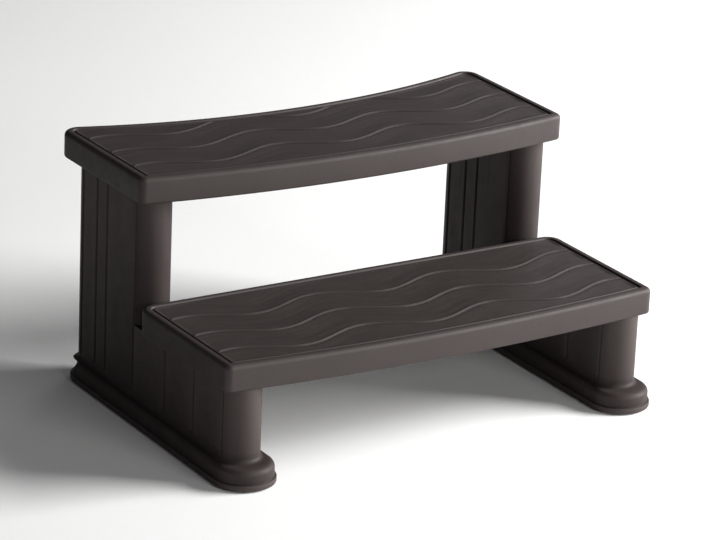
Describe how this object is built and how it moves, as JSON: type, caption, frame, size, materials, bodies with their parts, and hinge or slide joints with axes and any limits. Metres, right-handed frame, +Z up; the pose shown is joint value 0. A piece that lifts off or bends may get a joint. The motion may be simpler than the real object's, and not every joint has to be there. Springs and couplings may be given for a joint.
{
  "type": "spa steps",
  "caption": "Two-step stair for a round spa tub: hollow plastic side panels with round posts and flared feet, bowed treads with wavy grip ridges, and a hollowed upper back edge.",
  "frame": {"origin": "middle of the object's outline on the floor, on the soles of the foot pads", "axes": "+X along the treads, to the right of a person about to step up; +Y from the front of the lower step towards the tub; +Z up"},
  "size_m": [0.829, 0.6081, 0.424],
  "materials": {
    "panel_plastic": "fine-textured moulded polyethylene, dark espresso brown",
    "tread_plastic": "fine-textured moulded polyethylene, dark espresso brown",
    "steel": "stainless, plain",
    "brass": "turned, plain",
    "plug_rubber": "moulded, matte",
    "pad_rubber": "moulded, matte"
  },
  "bodies": {
    "root": {"left_side_panel": "panel_plastic", "right_side_panel": "panel_plastic", "lower_tread": "tread_plastic", "upper_tread": "tread_plastic", "lower_left_screws": "steel", "lower_right_screws": "steel", "upper_left_screws": "steel", "upper_right_screws": "steel", "lower_left_washers": "steel", "lower_right_washers": "steel", "upper_left_washers": "steel", "upper_right_washers": "steel", "lower_left_inserts": "brass", "lower_right_inserts": "brass", "upper_left_inserts": "brass", "upper_right_inserts": "brass", "left_panel_vent_plug": "plug_rubber", "right_panel_vent_plug": "plug_rubber", "lower_tread_vent_plug": "plug_rubber", "upper_tread_vent_plug": "plug_rubber", "left_front_foot_pad": "pad_rubber", "left_middle_foot_pad": "pad_rubber", "left_rear_foot_pad": "pad_rubber", "right_front_foot_pad": "pad_rubber", "right_middle_foot_pad": "pad_rubber", "right_rear_foot_pad": "pad_rubber"}
  },
  "joints": []
}
